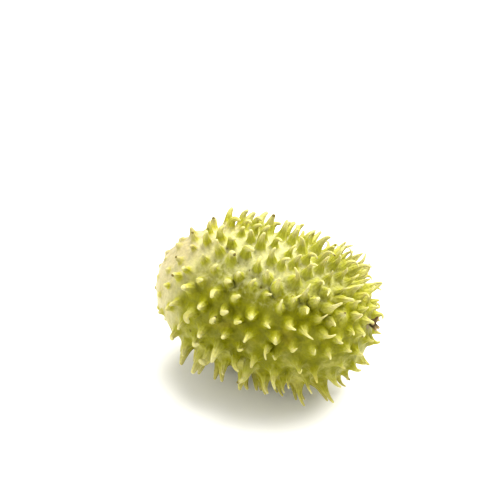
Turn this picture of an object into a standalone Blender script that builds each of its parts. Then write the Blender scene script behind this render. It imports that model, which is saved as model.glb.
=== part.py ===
# A west indian gherkin, picked and lying on its side: an egg-shaped fruit with soft curved spines.
# Units are metres and +Z is up. The fruit's long axis runs along X, with the blossom end at +X.
# The origin is the middle of the bottom of the whole object's bounding box.

import bmesh
import bpy
import math
import numpy as np

# Body
HALF_LENGTH = 0.0267
HALF_WIDTH = 0.0162
BLUNTNESS = 2.4
BODY_CLEARANCE = 0.0038
BODY_X = -0.001018
BODY_Y = 0.000072
PROFILE_STEPS = 6001

# Spines
SEED = 953
SPINE_COUNT = 298
GOLDEN_ANGLE = math.pi * (3 - math.sqrt(5))
STEM_CROWDING = 0.75
BLOSSOM_CROWDING = 1.5
CROWDING_ABOVE = 0.22
POLE_SHARE = 1.5
SEAT_JITTER = 0.00048
BLOSSOM_SHIFT = (0.05, 0.095)
SHIFT_START = 0.6
FULL_LENGTH = 0.0050
BUMP_LENGTH = 0.0006
SHOULDER_EXTRA = 0.0008
BLOSSOM_LENGTH = 0.0028
LENGTH_SPREAD = 0.16
SPREAD_LIMIT = 1.6
STEM_FADE = (-0.86, -0.42)
SHOULDER = (0.30, 0.62)
BLOSSOM_FADE = (0.70, 0.92)
FORWARD_LEAN = 0.20
LEAN_SPREAD = 0.09
HOOK_START = 0.45
HOOK_ANGLES = (0.30, 2.30)
HOOK_POWER = 1.6
CURL_FADE = (-0.8, 0.1)
CURL_AIM = (1.0, 0.0, 0.5)
STRAIGHT_BELOW = 0.35
STANDING_ROOM = 0.0014
LEAST_FALL = 0.05
TIP_ROOM = 0.0036
SPREAD_PASSES = 12
SPREAD_STRENGTH = 0.4
CURVE_STEPS = 24

# Section of a spine
ROOT_RADIUS = 0.00128
SHAFT_RADIUS = 0.00077
SHAFT_SHARE = 0.5
TIP_RADIUS = 0.00030
SLIM_BLOSSOM = 0.10
SLIM_STEM = 0.30
FLARE_HEIGHT = 0.0026
FLARE_SHARE = 0.45
FLARE_POWER = 0.50
CORNER_ALLOWANCE = 1.08

# Where the rings of a spine stand, as shares of its length
BUMP_RINGS = (0.42,)
SPINE_RINGS = (0.15, 0.45, 0.80)
HOOKED_RINGS = (0.15, 0.60, 0.82)
TOUCHING_RINGS = (0.18, 0.68, 0.88)
BUMP_LIMIT = 0.0022
HOOK_LIMIT = 1.50

# Contact with the surface below
LANDING = 0.0003
TOUCH_SHARE = 0.45
TIP_SINKS = 0.8
LEAST_PRESS = 1e-4
TOUCH_LIMIT = 0.0003
TOUCH_SNAP = 0.00022
OUTWARD_PULL = 0.5
SPLAY = 1.8

# Stalk scar and blossom dimple
SCAR_RADIUS = 0.0011
SCAR_HEIGHT = 0.0005
SCAR_PIT = 0.0002
DIMPLE_RADIUS = 0.0013
DIMPLE_DEPTH = 0.0003

# Flower remnant
REMNANT_GAP = 0.0003
REMNANT_DETAIL = 4
REMNANT_CORE = 0.00090
REMNANT_FLAT = 0.72
LOBE_COUNT = 5
LOBE_REACH = 0.00140
LOBE_WIDTH = 0.33
LOBE_TILT = 0.95
LOBE_WANDER = 0.22
STYLE_REACH = 0.0022
STYLE_WIDTH = 0.16
STYLE_AIM = (0.60, -0.20, 0.78)

# Plain materials
SKIN_GREEN = (0.36, 0.35, 0.05)
SKIN_ROUGHNESS = 0.5
WITHERED_BROWN = (0.23, 0.13, 0.04)
WITHERED_ROUGHNESS = 0.85


def smooth(value):
    """Runs from 0 to 1 with level ends."""
    value = np.clip(value, 0.0, 1.0)
    return value * value * (3 - 2 * value)


def unit(vectors):
    return vectors / np.linalg.norm(vectors, axis=-1, keepdims=True)


def body_profile():
    """The half outline from the stalk end to the blossom end: x, radius, area behind each point, and
    a latitude from -1 to 1 that keeps angles true when the body is mapped onto a ball."""
    turn = np.linspace(0, np.pi, PROFILE_STEPS)
    reach = (np.abs(np.cos(turn) / HALF_LENGTH) ** BLUNTNESS
             + (np.sin(turn) / HALF_WIDTH) ** BLUNTNESS) ** (-1 / BLUNTNESS)
    x = -reach * np.cos(turn)
    r = reach * np.sin(turn)
    step = np.hypot(np.diff(x), np.diff(r))
    middle = (r[1:] + r[:-1]) / 2
    crowding = np.interp(x[1:], (-HALF_LENGTH, -HALF_LENGTH / 2, 0, HALF_LENGTH),
                         (STEM_CROWDING, 1, 1, BLOSSOM_CROWDING))
    area = np.concatenate(([0.0], np.cumsum(middle * step * crowding)))
    stretch = np.concatenate(([0.0], np.cumsum(step / middle)))
    latitude = np.tanh(stretch - stretch[PROFILE_STEPS // 2])
    latitude[0], latitude[-1] = -1.0, 1.0
    return x, r, area / area[-1], latitude


PROFILE_X, PROFILE_R, PROFILE_AREA, PROFILE_LATITUDE = body_profile()


def on_ball(latitude, angle):
    """Unit vectors at a latitude along X and an angle round it."""
    ring = np.sqrt(np.clip(1 - latitude ** 2, 0, None))
    return np.stack((latitude, ring * np.cos(angle), ring * np.sin(angle)), axis=-1)


def on_body(ball):
    """Points of the smooth body under unit vectors of the ball, and the outward normals there."""
    latitude = np.clip(ball[..., 0], -1, 1)
    x = np.interp(latitude, PROFILE_LATITUDE, PROFILE_X)
    r = np.interp(latitude, PROFILE_LATITUDE, PROFILE_R)
    around = ball[..., 1:] / np.maximum(np.linalg.norm(ball[..., 1:], axis=-1, keepdims=True), 1e-9)
    point = np.concatenate((x[..., None], r[..., None] * around), axis=-1)
    along = np.sign(x) * np.abs(x / HALF_LENGTH) ** (BLUNTNESS - 1) / HALF_LENGTH
    across = (r / HALF_WIDTH) ** (BLUNTNESS - 1) / HALF_WIDTH
    normal = unit(np.concatenate((along[..., None], across[..., None] * around), axis=-1))
    point = point + (BODY_X, BODY_Y, HALF_WIDTH + BODY_CLEARANCE)
    return point, normal


def spine_seats(rng):
    """Seats as unit vectors: a spiral, wider spaced at the stalk end and closer at the blossom end and
    above, each seat moved a little at random. The first is the stalk scar and the last the blossom
    dimple, which sits a little off the axis."""
    turns = np.arange(SPINE_COUNT)
    share = (turns + 0.5 + POLE_SHARE) / (SPINE_COUNT + 2 * POLE_SHARE)
    latitude = np.interp(share, PROFILE_AREA, PROFILE_LATITUDE)
    angle = turns * GOLDEN_ANGLE
    ball = on_ball(latitude, angle + CROWDING_ABOVE * np.cos(angle))
    radius = np.interp(latitude, PROFILE_LATITUDE, PROFILE_R)
    scale = np.sqrt(1 - latitude ** 2) / radius
    shift = rng.normal(0, SEAT_JITTER, (SPINE_COUNT, 3)) * scale[:, None]
    ball = np.concatenate(([(-1.0, 0, 0)], unit(ball + shift), [(1.0, 0, 0)]))
    near_blossom = smooth((ball[:, :1] - SHIFT_START) / (1 - SHIFT_START))
    return unit(ball + near_blossom * (0, *BLOSSOM_SHIFT))


def tangent(vectors, normals):
    """What is left of vectors once their part along the normals is taken away."""
    return vectors - (vectors * normals).sum(-1, keepdims=True) * normals


def away_from_middle(point):
    """Level unit vectors that lead from the upright line through the fruit's middle to a point."""
    return unit(point * (1, 1, 0) - (BODY_X, BODY_Y, 0) + (1e-6, 0, 0))


def spine_rules(seats, rng):
    """Length, slimness, aim and hook of every spine, from its place along the fruit and from draws."""
    foot, normal = on_body(seats)
    count = len(seats)
    place = (foot[:, 0] - BODY_X) / HALF_LENGTH
    grown = smooth((place - STEM_FADE[0]) / (STEM_FADE[1] - STEM_FADE[0]))
    shoulder = smooth((place - SHOULDER[0]) / (SHOULDER[1] - SHOULDER[0]))
    blossom = smooth((place - BLOSSOM_FADE[0]) / (BLOSSOM_FADE[1] - BLOSSOM_FADE[0]))
    full = FULL_LENGTH + SHOULDER_EXTRA * shoulder
    full = full + (BLOSSOM_LENGTH - full) * blossom
    spread = 1 + LENGTH_SPREAD * np.clip(rng.normal(0, 1, count), -SPREAD_LIMIT, SPREAD_LIMIT)
    length = (BUMP_LENGTH + (full - BUMP_LENGTH) * grown) * spread
    slim = (1 - SLIM_BLOSSOM * shoulder - SLIM_STEM * (1 - grown)) * spread
    lean = rng.normal(0, LEAN_SPREAD, (count, 3))
    lean[:, 0] += FORWARD_LEAN * grown * (1 - blossom)
    aim = unit(normal + tangent(lean, normal))
    for _ in range(SPREAD_PASSES):
        tip = foot + aim * length[:, None]
        apart = tip[:, None] - tip[None]
        distance = np.linalg.norm(apart, axis=2) + np.eye(count)
        push = np.clip(TIP_ROOM - distance, 0, None) / distance
        aim = unit(aim + SPREAD_STRENGTH * (apart * push[..., None]).sum(1) / FULL_LENGTH)
    below = (foot[:, 2] + STANDING_ROOM) / np.clip(-aim[:, 2], LEAST_FALL, 1)
    length = np.where(aim[:, 2] < 0, np.minimum(length, below), length)
    sunk = np.clip(-foot[:, 2:] / length[:, None] - aim[:, 2:], 0, 1)
    aim = unit(aim + SPLAY * sunk * away_from_middle(foot))
    low, high = HOOK_ANGLES
    curl = smooth((normal[:, 2] - CURL_FADE[0]) / (CURL_FADE[1] - CURL_FADE[0]))
    curl = STRAIGHT_BELOW + (1 - STRAIGHT_BELOW) * curl
    hook = (low + (high - low) * rng.random(count) ** HOOK_POWER) * grown * curl
    side = unit(tangent(rng.normal(0, 1, (count, 3)) + CURL_AIM, aim))
    return foot, normal, length, slim, aim, hook, side


def shaft_radius(share, slim):
    """Radius of a spine's shaft at a share of its length: slimmer towards the blunt tip."""
    lower = ROOT_RADIUS + (SHAFT_RADIUS - ROOT_RADIUS) * np.clip(share / SHAFT_SHARE, 0, 1)
    upper = (TIP_RADIUS - SHAFT_RADIUS) * np.clip((share - SHAFT_SHARE) / (1 - SHAFT_SHARE), 0, 1)
    return (lower + upper) * slim


def centre_lines(foot, length, slim, aim, hook, side):
    """Each spine's centre line and its directions at CURVE_STEPS + 1 points. It leaves along its aim
    and hooks to its side near the tip. Where that would take it through the surface below, its
    height flattens out there and the rest of its length slides outwards."""
    step_length = (length / CURVE_STEPS)[:, None]
    outward = away_from_middle(foot)
    point, free_height = foot, foot[:, 2:]
    points, directions = [point], [aim]
    for step in range(1, CURVE_STEPS + 1):
        share = step / CURVE_STEPS
        bend = (hook * smooth((share - HOOK_START) / (1 - HOOK_START)))[:, None]
        way = np.cos(bend) * aim + np.sin(bend) * side
        free_height = free_height + way[:, 2:] * step_length
        sinking = smooth((share - TIP_SINKS) / (1 - TIP_SINKS))
        floor = (TOUCH_SHARE * shaft_radius(share, slim) * (1 - sinking))[:, None]
        height = floor + LANDING * np.logaddexp(0, (free_height - floor) / LANDING)
        pressed = smooth((height - free_height) / LANDING)
        level = unit(way * (1, 1, 0) + pressed * OUTWARD_PULL * outward + (1e-9, 0, 0))
        rise = np.clip(height - point[:, 2:], -step_length, step_length)
        slid = level * np.sqrt(step_length ** 2 - rise ** 2) + rise * (0, 0, 1)
        move = np.where(pressed > LEAST_PRESS, slid, way * step_length)
        point = point + move
        points.append(point)
        directions.append(move / step_length)
    return np.stack(points, 1), np.stack(directions, 1)


def at_share(lines, index, share):
    """Row of a line or of directions at a share of the spine's length."""
    place = share * CURVE_STEPS
    below = min(int(place), CURVE_STEPS - 1)
    mix = place - below
    return lines[index, below] * (1 - mix) + lines[index, below + 1] * mix


def ring_point(spine, index, share, border):
    """Point of the ring at a share of a spine's length, on the side of a border point of its cell."""
    foot, normal, length, slim, points, directions = spine
    reach = tangent(border - foot[index], normal[index])
    distance = np.linalg.norm(reach)
    core = shaft_radius(share, slim[index]) * CORNER_ALLOWANCE
    rise = min(share * length[index] / min(FLARE_HEIGHT, FLARE_SHARE * length[index]), 1)
    flare = (1 - rise ** FLARE_POWER) ** (1 / FLARE_POWER)
    radius = core + max(distance - core, 0) * flare
    upright = normal[index]
    way = unit(at_share(directions, index, share))
    way = unit(way + (upright - way) * smooth(flare))
    side = reach / distance
    turned = side - (side @ way) / (1 + upright @ way) * (upright + way)
    return at_share(points, index, share) + turned * radius


def rest_on_surface(point):
    """Presses what comes down to the surface below flat on it."""
    if point[2] < TOUCH_SNAP:
        point[2] = 0.0
    return point


def cells_on_ball(seats):
    """A ball cut into one many-sided cell round each seat: the hull of the seats, each triangle
    poked, each hull edge turned to join two centres, and the seats then dissolved."""
    mesh = bmesh.new()
    corners = [mesh.verts.new(seat) for seat in seats]
    bmesh.ops.convex_hull(mesh, input=corners)
    bmesh.ops.recalc_face_normals(mesh, faces=mesh.faces[:])
    hull_edges = mesh.edges[:]
    bmesh.ops.poke(mesh, faces=mesh.faces[:])
    bmesh.ops.rotate_edges(mesh, edges=hull_edges)
    bmesh.ops.dissolve_verts(mesh, verts=corners)
    number = mesh.faces.layers.int.new("seat")
    for face in mesh.faces:
        middle = np.array(face.calc_center_median())
        face[number] = int(np.argmin(((seats - middle) ** 2).sum(1)))
    return mesh, number


def ring_shares(index, last, length, hook, touches):
    """The rings that a spine needs: one for a bump and three for a spine, which stand higher where it
    bends far or lies on the surface below."""
    if index in (0, last):
        return (1.0,)
    if length < BUMP_LIMIT:
        return BUMP_RINGS
    if touches:
        return TOUCHING_RINGS
    return HOOKED_RINGS if hook > HOOK_LIMIT else SPINE_RINGS


def pole_point(index, border, foot, normal):
    """Rim of the stalk scar at the first seat, or of the blossom dimple at the last."""
    side = unit(tangent(border - foot[index], normal[index]))
    if index == 0:
        return foot[index] + side * SCAR_RADIUS + normal[index] * SCAR_HEIGHT
    return foot[index] + side * DIMPLE_RADIUS


def fruit_mesh():
    """The body's skin with a spine drawn out of every cell."""
    rng = np.random.default_rng(SEED)
    seats = spine_seats(rng)
    foot, normal, length, slim, aim, hook, side = spine_rules(seats, rng)
    points, directions = centre_lines(foot, length, slim, aim, hook, side)
    spine = (foot, normal, length, slim, points, directions)
    last = len(seats) - 1
    mesh, number = cells_on_ball(seats)
    placed = {}
    for vert in mesh.verts:
        placed[vert], _ = on_body(unit(np.array(vert.co)))
    tops = {face[number]: face for face in mesh.faces}
    shares = {}
    for index in tops:
        touches = points[index, :, 2].min() < TOUCH_LIMIT
        shares[index] = ring_shares(index, last, length[index], hook[index], touches)
    for level in range(max(len(share) for share in shares.values())):
        growing = [index for index in tops if len(shares[index]) > level]
        made = bmesh.ops.extrude_discrete_faces(mesh, faces=[tops[index] for index in growing])
        for face in made["faces"]:
            index = face[number]
            tops[index] = face
            for vert in face.verts:
                border, _ = on_body(unit(np.array(vert.co)))
                if index in (0, last):
                    placed[vert] = pole_point(index, border, foot, normal)
                else:
                    placed[vert] = ring_point(spine, index, shares[index][level], border)
    made = bmesh.ops.poke(mesh, faces=list(tops.values()))
    for vert in made["verts"]:
        index = vert.link_faces[0][number]
        placed[vert] = points[index, -1].copy()
        if index == 0:
            placed[vert] = foot[0] + normal[0] * (SCAR_HEIGHT - SCAR_PIT)
        if index == last:
            placed[vert] = foot[last] - normal[last] * DIMPLE_DEPTH
    for vert, point in placed.items():
        vert.co = rest_on_surface(point)
    bmesh.ops.triangulate(mesh, faces=mesh.faces[:], quad_method="SHORT_EDGE")
    return mesh


def remnant_mesh():
    """A crumpled ball with withered lobes round its front and the stump of a style. Seen from its
    middle, each point's distance is the core's plus a hump for every lobe that it is near."""
    foot, normal = on_body(unit(np.array((1.0, *BLOSSOM_SHIFT))))
    level = unit(np.cross((0, 0, 1), normal))
    frame = np.stack((normal, level, np.cross(normal, level)))
    middle = foot + normal * (REMNANT_GAP + REMNANT_CORE * REMNANT_FLAT)
    turns = np.arange(LOBE_COUNT) * 2 * math.pi / LOBE_COUNT
    tilts = LOBE_TILT + LOBE_WANDER * np.sin(3 * turns + 1)
    lobes = np.stack((np.cos(tilts), np.sin(tilts) * np.cos(turns), np.sin(tilts) * np.sin(turns)), 1)
    style = unit(np.array(STYLE_AIM))
    mesh = bmesh.new()
    bmesh.ops.create_icosphere(mesh, subdivisions=REMNANT_DETAIL, radius=1.0)
    for vert in mesh.verts:
        way = np.array(vert.co.normalized())
        lobe_angles = np.arccos(np.clip(lobes @ way, -1, 1))
        style_angle = math.acos(min(style @ way, 1))
        reach = (REMNANT_CORE + LOBE_REACH * np.exp(-(lobe_angles / LOBE_WIDTH) ** 2).sum()
                 + STYLE_REACH * math.exp(-(style_angle / STYLE_WIDTH) ** 2))
        back = REMNANT_FLAT if way[0] < 0 else 1
        vert.co = middle + (way * reach * (back, 1, 1)) @ frame
    return mesh


def add_node(name, mesh, material, collection):
    """Makes the mesh an object, smooth shaded, with its material."""
    bmesh.ops.recalc_face_normals(mesh, faces=mesh.faces[:])
    data = bpy.data.meshes.new(name)
    mesh.to_mesh(data)
    mesh.free()
    data.shade_smooth()
    data.materials.append(material)
    item = bpy.data.objects.new(name, data)
    collection.objects.link(item)
    return item


def make_material(name, colour, roughness):
    material = bpy.data.materials.new(name)
    material.use_nodes = True
    shader = material.node_tree.nodes["Principled BSDF"]
    shader.inputs["Base Color"].default_value = (*colour, 1)
    shader.inputs["Roughness"].default_value = roughness
    shader.inputs["Metallic"].default_value = 0.0
    return material


def main():
    for item in list(bpy.data.objects):
        bpy.data.objects.remove(item, do_unlink=True)
    collection = bpy.data.collections.new("west_indian_gherkin")
    bpy.context.scene.collection.children.link(collection)
    skin = make_material("gherkin_skin", SKIN_GREEN, SKIN_ROUGHNESS)
    withered = make_material("withered_flower", WITHERED_BROWN, WITHERED_ROUGHNESS)
    add_node("fruit", fruit_mesh(), skin, collection)
    add_node("flower_remnant", remnant_mesh(), withered, collection)


main()
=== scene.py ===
# A west indian gherkin lying on a pale surface: a small egg-shaped fruit with soft hooked spines,
# cream at the stalk end, yellow-green elsewhere, with the withered flower still on its other end.
import bmesh
import bpy
import math
import numpy as np
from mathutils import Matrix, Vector


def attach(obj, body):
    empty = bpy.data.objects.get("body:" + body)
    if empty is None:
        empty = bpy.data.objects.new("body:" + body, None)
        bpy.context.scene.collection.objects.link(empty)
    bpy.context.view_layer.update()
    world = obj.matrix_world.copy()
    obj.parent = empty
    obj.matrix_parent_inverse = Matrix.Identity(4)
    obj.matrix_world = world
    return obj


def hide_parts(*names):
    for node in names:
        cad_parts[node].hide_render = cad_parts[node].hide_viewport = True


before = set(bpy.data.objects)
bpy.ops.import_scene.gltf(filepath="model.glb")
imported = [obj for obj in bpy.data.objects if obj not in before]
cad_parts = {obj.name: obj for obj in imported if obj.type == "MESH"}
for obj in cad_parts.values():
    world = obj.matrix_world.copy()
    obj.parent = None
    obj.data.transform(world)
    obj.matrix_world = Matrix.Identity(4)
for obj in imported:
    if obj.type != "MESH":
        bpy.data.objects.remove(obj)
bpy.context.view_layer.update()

from types import SimpleNamespace

# Body, in metres: the same egg shape, place and layout of spines as the solids have
HALF_LENGTH = 0.0267
HALF_WIDTH = 0.0162
BLUNTNESS = 2.4
BODY_CLEARANCE = 0.0038
BODY_X = -0.001018
BODY_Y = 0.000072
PROFILE_STEPS = 6001

# Layout and growth of the spines
SEED = 953
SPINE_COUNT = 298
GOLDEN_ANGLE = math.pi * (3 - math.sqrt(5))
STEM_CROWDING = 0.75
BLOSSOM_CROWDING = 1.5
CROWDING_ABOVE = 0.22
POLE_SHARE = 1.5
SEAT_JITTER = 0.00048
BLOSSOM_SHIFT = (0.05, 0.095)
SHIFT_START = 0.6
FULL_LENGTH = 0.0050
BUMP_LENGTH = 0.0006
SHOULDER_EXTRA = 0.0008
BLOSSOM_LENGTH = 0.0028
LENGTH_SPREAD = 0.16
SPREAD_LIMIT = 1.6
STEM_FADE = (-0.86, -0.42)
SHOULDER = (0.30, 0.62)
BLOSSOM_FADE = (0.70, 0.92)
FORWARD_LEAN = 0.20
LEAN_SPREAD = 0.09
HOOK_START = 0.45
HOOK_ANGLES = (0.30, 2.30)
HOOK_POWER = 1.6
CURL_FADE = (-0.8, 0.1)
STANDING_ROOM = 0.0014
LEAST_FALL = 0.05
CURL_AIM = (1.0, 0.0, 0.5)
STRAIGHT_BELOW = 0.35
TIP_ROOM = 0.0036
SPREAD_PASSES = 12
SPREAD_STRENGTH = 0.4
CURVE_STEPS = 24
FRAME_AIM = (0.36, 0.48, 0.80)

# Section of a spine
ROOT_RADIUS = 0.00128
SHAFT_RADIUS = 0.00077
SHAFT_SHARE = 0.5
TIP_RADIUS = 0.00030
SLIM_BLOSSOM = 0.10
SLIM_STEM = 0.30
FLARE_HEIGHT = 0.0026
FLARE_SHARE = 0.45
FLARE_POWER = 0.50

# Contact with the surface below
LANDING = 0.0003
TOUCH_SHARE = 0.45
TIP_SINKS = 0.8
LEAST_PRESS = 1e-4
OUTWARD_PULL = 0.5
SPLAY = 1.8

# Fineness of the skin: columns on each side of a cell, and rings up a spine
SIDE_COLUMNS = 2
FLARE_ROWS = 7
SHAFT_ROWS = 10
CAP_SHARES = (0.975, 0.993)
CAP_START = 0.94

# Relief that the solids are too coarse for: low saddles between close spines, creases and a waist
# round each spine, and tips that are slimmer towards the blossom end and plumper near the stalk
SADDLE_HEIGHT = 0.00028
CLOSENESS_LIMIT = 2.0
CREASES = 3
CREASE_DEPTH = 0.07
WAISTS = 2
WAIST_DEPTH = 0.05
SLIM_TIP = 0.22
SLIM_HOOK = 0.30
PLUMP_TIP = 0.14
SLIM_FADE = (-0.006, 0.012)
SLIM_SHARE = 0.85

# Stalk scar and blossom dimple in metres, and the shares of their radius over which the rim rises,
# the pit deepens and the tint reaches and fades
SCAR_RADIUS = 0.00135
SCAR_HEIGHT = 0.0005
SCAR_PIT = 0.00028
DIMPLE_RADIUS = 0.0016
DIMPLE_DEPTH = 0.0003
RIM_FADE = 0.35
PIT_SHARE = 0.7
TINT_REACH = 1.15
TINT_FADE = 0.25

# Flower remnant: sizes in metres, directions and widths in radians, and its wrinkles as waves with
# counts along x, y and z and a start
REMNANT_GAP = 0.0003
REMNANT_CORE = 0.00090
REMNANT_FLAT = 0.72
LOBE_COUNT = 5
LOBE_REACH = 0.00140
LOBE_WIDTH = 0.33
LOBE_TILT = 0.95
LOBE_WANDER = 0.22
LOBE_WANDER_WAVES = 3
LOBE_WANDER_START = 1
STYLE_REACH = 0.0022
STYLE_WIDTH = 0.16
STYLE_AIM = (0.60, -0.20, 0.78)
REMNANT_GRID = (120, 200)
WRINKLE_DEPTH = 0.10
LOBE_WRINKLING = 0.5
COARSE_WAVES = ((5, 17, 0, 0), (-7, 0, 13, 1))
FINE_WAVES = ((0, 11, 31, 0), (27, 0, 0, 2))
FINE_SHARE = 0.6

# Camera: the photo's side, from above, with a long lens
CAMERA_TURN = 28.2
CAMERA_RISE = 35.0
CAMERA_LENS = 100.0
CAMERA_CLIP = 0.01
SENSOR_WIDTH = 36.0
FRAME_PIXELS = 500
PIXELS_PER_METRE = 4230
BODY_PIXEL = (262.5, 303.6)


def smooth(value):
    """Runs from 0 to 1 with level ends: 3 v^2 - 2 v^3, held between them."""
    value = np.clip(value, 0.0, 1.0)
    return value * value * (3 - 2 * value)


def unit(vectors):
    """Each vector divided by its length."""
    return vectors / np.linalg.norm(vectors, axis=-1, keepdims=True)


def tangent(vectors, normals):
    """What is left of vectors once their part along the normals is taken away."""
    return vectors - (vectors * normals).sum(-1, keepdims=True) * normals


def body_profile():
    """The half outline as x and radius: the reach in each direction t is
    (|cos t / half length|^p + (sin t / half width)^p)^(-1/p). With it come the crowding-weighted
    area behind each point, from 0 to 1, and the latitude tanh(sum of step / radius), which keeps
    angles true when the body is mapped onto a ball."""
    turn = np.linspace(0, np.pi, PROFILE_STEPS)
    reach = (np.abs(np.cos(turn) / HALF_LENGTH) ** BLUNTNESS
             + (np.sin(turn) / HALF_WIDTH) ** BLUNTNESS) ** (-1 / BLUNTNESS)
    x = -reach * np.cos(turn)
    r = reach * np.sin(turn)
    step = np.hypot(np.diff(x), np.diff(r))
    middle = (r[1:] + r[:-1]) / 2
    crowding = np.interp(x[1:], (-HALF_LENGTH, -HALF_LENGTH / 2, 0, HALF_LENGTH),
                         (STEM_CROWDING, 1, 1, BLOSSOM_CROWDING))
    area = np.concatenate(([0.0], np.cumsum(middle * step * crowding)))
    stretch = np.concatenate(([0.0], np.cumsum(step / middle)))
    latitude = np.tanh(stretch - stretch[PROFILE_STEPS // 2])
    latitude[0], latitude[-1] = -1.0, 1.0
    return x, r, area / area[-1], latitude


PROFILE_X, PROFILE_R, PROFILE_AREA, PROFILE_LATITUDE = body_profile()


def on_ball(latitude, angle):
    """Unit vectors at a latitude along X and an angle round it."""
    ring = np.sqrt(np.clip(1 - latitude ** 2, 0, None))
    return np.stack((latitude, ring * np.cos(angle), ring * np.sin(angle)), axis=-1)


def on_body(ball):
    """Points of the smooth body under unit vectors of the ball, and the outward normals there."""
    latitude = np.clip(ball[..., 0], -1, 1)
    x = np.interp(latitude, PROFILE_LATITUDE, PROFILE_X)
    r = np.interp(latitude, PROFILE_LATITUDE, PROFILE_R)
    around = ball[..., 1:] / np.maximum(np.linalg.norm(ball[..., 1:], axis=-1, keepdims=True), 1e-9)
    point = np.concatenate((x[..., None], r[..., None] * around), axis=-1)
    along = np.sign(x) * np.abs(x / HALF_LENGTH) ** (BLUNTNESS - 1) / HALF_LENGTH
    across = (r / HALF_WIDTH) ** (BLUNTNESS - 1) / HALF_WIDTH
    normal = unit(np.concatenate((along[..., None], across[..., None] * around), axis=-1))
    point = point + (BODY_X, BODY_Y, HALF_WIDTH + BODY_CLEARANCE)
    return point, normal


def spine_seats(rng):
    """Seats as unit vectors: a golden-angle spiral with equal areas, each seat moved a little at
    random. The first is the stalk scar and the last the blossom dimple, a little off the axis."""
    turns = np.arange(SPINE_COUNT)
    share = (turns + 0.5 + POLE_SHARE) / (SPINE_COUNT + 2 * POLE_SHARE)
    latitude = np.interp(share, PROFILE_AREA, PROFILE_LATITUDE)
    angle = turns * GOLDEN_ANGLE
    ball = on_ball(latitude, angle + CROWDING_ABOVE * np.cos(angle))
    radius = np.interp(latitude, PROFILE_LATITUDE, PROFILE_R)
    scale = np.sqrt(1 - latitude ** 2) / radius
    shift = rng.normal(0, SEAT_JITTER, (SPINE_COUNT, 3)) * scale[:, None]
    ball = np.concatenate(([(-1.0, 0, 0)], unit(ball + shift), [(1.0, 0, 0)]))
    near_blossom = smooth((ball[:, :1] - SHIFT_START) / (1 - SHIFT_START))
    return unit(ball + near_blossom * (0, *BLOSSOM_SHIFT))


def away_from_middle(point):
    """Level unit vectors that lead from the upright line through the fruit's middle to a point."""
    return unit(point * (1, 1, 0) - (BODY_X, BODY_Y, 0) + (1e-6, 0, 0))


def spine_rules(seats, rng):
    """Length, slimness, aim and hook of every spine, from its place along the fruit and from draws."""
    foot, normal = on_body(seats)
    count = len(seats)
    place = (foot[:, 0] - BODY_X) / HALF_LENGTH
    grown = smooth((place - STEM_FADE[0]) / (STEM_FADE[1] - STEM_FADE[0]))
    shoulder = smooth((place - SHOULDER[0]) / (SHOULDER[1] - SHOULDER[0]))
    blossom = smooth((place - BLOSSOM_FADE[0]) / (BLOSSOM_FADE[1] - BLOSSOM_FADE[0]))
    full = FULL_LENGTH + SHOULDER_EXTRA * shoulder
    full = full + (BLOSSOM_LENGTH - full) * blossom
    spread = 1 + LENGTH_SPREAD * np.clip(rng.normal(0, 1, count), -SPREAD_LIMIT, SPREAD_LIMIT)
    length = (BUMP_LENGTH + (full - BUMP_LENGTH) * grown) * spread
    slim = (1 - SLIM_BLOSSOM * shoulder - SLIM_STEM * (1 - grown)) * spread
    lean = rng.normal(0, LEAN_SPREAD, (count, 3))
    lean[:, 0] += FORWARD_LEAN * grown * (1 - blossom)
    aim = unit(normal + tangent(lean, normal))
    for _ in range(SPREAD_PASSES):
        tip = foot + aim * length[:, None]
        apart = tip[:, None] - tip[None]
        distance = np.linalg.norm(apart, axis=2) + np.eye(count)
        push = np.clip(TIP_ROOM - distance, 0, None) / distance
        aim = unit(aim + SPREAD_STRENGTH * (apart * push[..., None]).sum(1) / FULL_LENGTH)
    below = (foot[:, 2] + STANDING_ROOM) / np.clip(-aim[:, 2], LEAST_FALL, 1)
    length = np.where(aim[:, 2] < 0, np.minimum(length, below), length)
    sunk = np.clip(-foot[:, 2:] / length[:, None] - aim[:, 2:], 0, 1)
    aim = unit(aim + SPLAY * sunk * away_from_middle(foot))
    low, high = HOOK_ANGLES
    curl = smooth((normal[:, 2] - CURL_FADE[0]) / (CURL_FADE[1] - CURL_FADE[0]))
    curl = STRAIGHT_BELOW + (1 - STRAIGHT_BELOW) * curl
    hook = (low + (high - low) * rng.random(count) ** HOOK_POWER) * grown * curl
    side = unit(tangent(rng.normal(0, 1, (count, 3)) + CURL_AIM, aim))
    return foot, normal, length, slim, aim, hook, side, grown


def shaft_radius(share, slim):
    """Radius of a spine's shaft at a share of its length: slimmer towards the blunt tip."""
    lower = ROOT_RADIUS + (SHAFT_RADIUS - ROOT_RADIUS) * np.clip(share / SHAFT_SHARE, 0, 1)
    upper = (TIP_RADIUS - SHAFT_RADIUS) * np.clip((share - SHAFT_SHARE) / (1 - SHAFT_SHARE), 0, 1)
    return (lower + upper) * slim


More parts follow.
